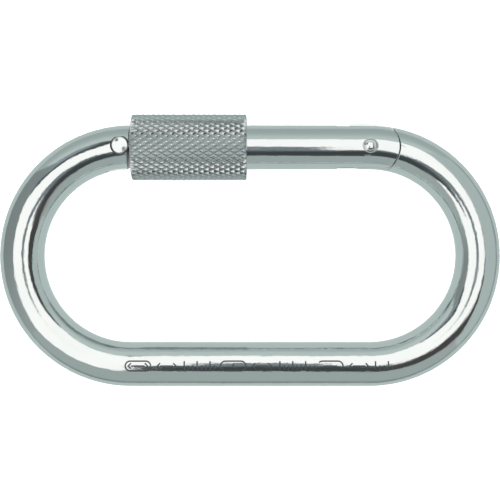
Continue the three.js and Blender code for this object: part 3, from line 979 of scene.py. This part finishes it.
def build_stop_ring():
    wire_r = (RING_HIGH.x - RING_LOW.x) / 2
    ring_r = RING_HIGH.z - wire_r
    angle = np.radians(np.linspace(12, 348, 97))
    x = np.full_like(angle, (RING_LOW.x + RING_HIGH.x) / 2)
    centres = np.stack([x, PIVOT_Y + ring_r * np.cos(angle), ring_r * np.sin(angle)], axis=1)
    return wire("stop_ring_wire", centres, wire_r, 16)


# Studio

FLOOR_GAP = 0.2
FLOOR_Z = -(SLEEVE_R + FLOOR_GAP)
CAMERA_HEIGHT = 0.340
FRAME_WIDTH = 0.1362
SENSOR = 36.0
SKY = 3.0
LAMP = 0.86
HOUSING = 0.26

# Heights in millimetres of what hangs over the object
LAMP_Z = 400
HOUSING_Z = 322
PANEL_Z = 255
ARM_Z = 200
# Corners of the tray's leaning sides: near left, near right, far right, far left
TRAY_TOPS = ((-191, -113, 150), (130, -91, 62), (135, 174, 188), (-191, 174, 188))

GREEN_GREY = (0.86, 1.0, 0.98)
BLUE_GREY = (0.80, 0.93, 1.0)
WHITE = (1.0, 0.99, 0.975)


def studio_card(name, corners, colour, level):
    """A glowing card that only shows in reflections. level(n, x, y, z) gives its brightness."""
    mesh = bpy.data.meshes.new(name)
    mesh.from_pydata([[v * MM for v in corner] for corner in corners], [], [range(len(corners))])
    card = bpy.data.objects.new(name, mesh)
    scene.collection.objects.link(card)
    material, n = new_material(name)
    place = n.scaled(n.add("ShaderNodeTexCoord").outputs["Object"], (1 / MM, 1 / MM, 1 / MM))
    x, y, z = n.add("ShaderNodeSeparateXYZ", Vector=place).outputs
    glow = n.add("ShaderNodeEmission", Color=(*colour, 1), Strength=level(n, x, y, z))
    n.add("ShaderNodeOutputMaterial", Surface=glow.outputs[0])
    mesh.materials.append(material)
    card.visible_camera = False
    card.visible_diffuse = False
    card.visible_shadow = False


def flat_card(name, x0, x1, y0, y1, z, colour, level):
    studio_card(name, [(x0, y0, z), (x1, y0, z), (x1, y1, z), (x0, y1, z)], colour, level)


def lamp_level(n, x, y, z):
    """A wide softbox in a dark rim, with pale ceiling round it."""
    near_edge = n.band(x, -120, -20, -300, -110)
    past_edge = n.math("SUBTRACT", y, near_edge)
    lit = n.math("MULTIPLY", n.band(past_edge, -30, 30), n.band(x, 230, 300, 1, 0))
    right_rim = n.math("MULTIPLY", n.band(x, 230, 270), n.band(y, -170, -120))
    near_rim = n.math("MULTIPLY", n.band(past_edge, -260, -190), n.band(past_edge, -10, 20, 1, 0))
    near_rim = n.math("MULTIPLY", near_rim, n.band(x, -10, 60))
    ceiling = n.math("MULTIPLY_ADD", n.math("MAXIMUM", right_rim, near_rim), -0.33, 0.40)
    return n.math("MULTIPLY_ADD", lit, LAMP, ceiling)


def far_level(n, x, y, z):
    """Darkest at the foot, paler upwards, with a dark top edge."""
    return n.math("MULTIPLY_ADD", n.band(z, 178, 184), -0.5, n.band(z, 2, 80, 0.48, 0.67))


def left_level(n, x, y, z):
    return n.band(y, -90, 20, 0.42, 0.29)


def arm_level(n, x, y, z):
    """Darkest away from the object's middle."""
    return n.band(y, -85, -45, 0.07, 0.20)


def panel_level(n, x, y, z):
    """A grey panel with a dark rim along its near and right edges."""
    inside = n.math("MULTIPLY", n.band(y, 120, 170), n.band(x, -140, -100, 1, 0))
    return n.math("MULTIPLY_ADD", inside, 0.28, 0.08)


def studio_wall(name, feet, tops, colour, level):
    """A leaning side of the tray: feet are points on its floor, and tops the points over them."""
    for i in range(len(feet) - 1):
        low = [(x, y, FLOOR_Z - 1) for x, y in (feet[i], feet[i + 1])]
        studio_card(f"{name}_{i}", [*low, tops[i + 1], tops[i]], colour, level)


def studio_cards():
    """What the steel reflects: a softbox, the camera's housing and arm, and a low tray of cards."""
    flat_card("softbox", -3000, 3000, -3000, 3000, LAMP_Z, WHITE, lamp_level)
    flat_card("housing", -30, 40, -260, 20, HOUSING_Z, BLUE_GREY, lambda n, x, y, z: HOUSING)
    flat_card("arm", -50, 62, -205, -45, ARM_Z, BLUE_GREY, arm_level)
    lens = arc(0, 0, 30, 0, 352.5, 47)
    studio_card("lens", [(x, y, HOUSING_Z - 2) for x, y in lens], BLUE_GREY, lambda n, x, y, z: 0.3)
    panel = [(-500, 105), (-85, 100), (-75, 170), (-55, 260), (-55, 500), (-500, 500)]
    studio_card("panel", [(x, y, PANEL_Z) for x, y in panel], BLUE_GREY, panel_level)
    flat_card("tray_floor", -600, 600, -600, 600, FLOOR_Z - 0.5, GREEN_GREY, lambda n, x, y, z: 0.64)
    near_left, near_right, far_right, far_left = TRAY_TOPS
    walls = (
        ("tray_near", [(-122, -69), (15, -69), (102, -69)], [near_left, (20, -113, 128), near_right],
         lambda n, x, y, z: n.band(z, -6, 4, 0.30, 0.47)),
        ("tray_right", [(102, -69), (102, 0), (102, 71)], [near_right, (116, 0, 98), far_right],
         lambda n, x, y, z: n.band(z, -6, 4, 0.36, 0.58)),
        ("tray_far", [(102, 71), (-122, 71)], [far_right, far_left], far_level),
        ("tray_left", [(-122, 71), (-122, 0), (-122, -69)], [far_left, (-191, 0, 172), near_left],
         left_level),
    )
    for name, feet, tops, level in walls:
        studio_wall(name, feet, tops, GREEN_GREY, level)


def studio_world():
    world = bpy.data.worlds.new("studio")
    scene.world = world
    world.use_nodes = True
    n = Nodes(world.node_tree)
    background = n.add("ShaderNodeBackground", Color=(1, 1, 1, 1), Strength=SKY)
    n.add("ShaderNodeOutputWorld", Surface=background.outputs[0])


def studio_floor():
    size = 3.0
    z = FLOOR_Z * MM
    mesh = bpy.data.meshes.new("studio_floor")
    corners = [(-size, -size, z), (size, -size, z), (size, size, z), (-size, size, z)]
    mesh.from_pydata(corners, [], [(0, 1, 2, 3)])
    floor = bpy.data.objects.new("studio_floor", mesh)
    scene.collection.objects.link(floor)
    material, n = new_material("floor_card")
    place = n.add("ShaderNodeTexCoord").outputs["Object"]
    tooth = n.noise(place, 900.0, 2.0)
    bump = n.add("ShaderNodeBump", Height=tooth, Strength=0.2, Distance=0.00005)
    shader = n.add(
        "ShaderNodeBsdfPrincipled",
        Base_Color=(0.93, 0.93, 0.93, 1),
        Roughness=0.9,
        Normal=bump.outputs["Normal"],
    )
    n.add("ShaderNodeOutputMaterial", Surface=shader.outputs[0])
    mesh.materials.append(material)
    floor.visible_glossy = False


def camera():
    data = bpy.data.cameras.new("camera")
    data.sensor_width = SENSOR
    data.lens = SENSOR * CAMERA_HEIGHT / FRAME_WIDTH
    data.clip_start = 0.01
    obj = bpy.data.objects.new("camera", data)
    obj.location = (0, 0.00005, CAMERA_HEIGHT)
    scene.collection.objects.link(obj)
    scene.camera = obj


camera()
studio_world()
studio_floor()
studio_cards()
scene.view_settings.view_transform = "Standard"

bar_steel = steel("polished_bar", (0.76, 0.785, 0.775), 0.06, 0.06, 0.7)
mark_and_shade_steel = etched_steel()
gate_steel = steel("polished_gate", (0.75, 0.775, 0.765), 0.06, 0.07, 0.4)
sleeve_steel = steel("knurled_sleeve", (0.74, 0.765, 0.76), 0.07, 0.06, 0.08, 0.3)
rivet_steel = steel("rivet", (0.78, 0.795, 0.79), 0.09, 0.05, 0.2)
# The darker colour of the inner steel is painted shade on faces in the gate's slot, its tongue and the
# plunger.
inner_steel = steel("inner_steel", (0.5, 0.51, 0.51), 0.34, 0.1, 0.1)
spring_steel = steel("spring_steel", (0.5, 0.51, 0.51), 0.32, 0.12, 0.1)

frame_bar = build_frame_bar(bar_steel, mark_and_shade_steel)
finish_piece(frame_bar, "frame", "frame_bar", [bar_steel, mark_and_shade_steel], bar_surface)
gate = build_gate(gate_steel, inner_steel)
finish_piece(gate, "gate", "gate", [gate_steel, inner_steel], bar_surface)
finish_piece(build_sleeve(), "sleeve", "locking_sleeve", [sleeve_steel], sharp=30)
finish_piece(build_latch_rivet(), "frame", "latch_rivet", [rivet_steel])
finish_piece(build_hinge_rivet(), "gate", "hinge_rivet", [rivet_steel])
finish_piece(build_plunger(), "plunger", "gate_plunger", [inner_steel])
spring = finish_piece(build_spring(), "gate", "gate_spring", [spring_steel])
finish_piece(build_stop_ring(), "ring", "stop_ring", [spring_steel])

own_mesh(spring)
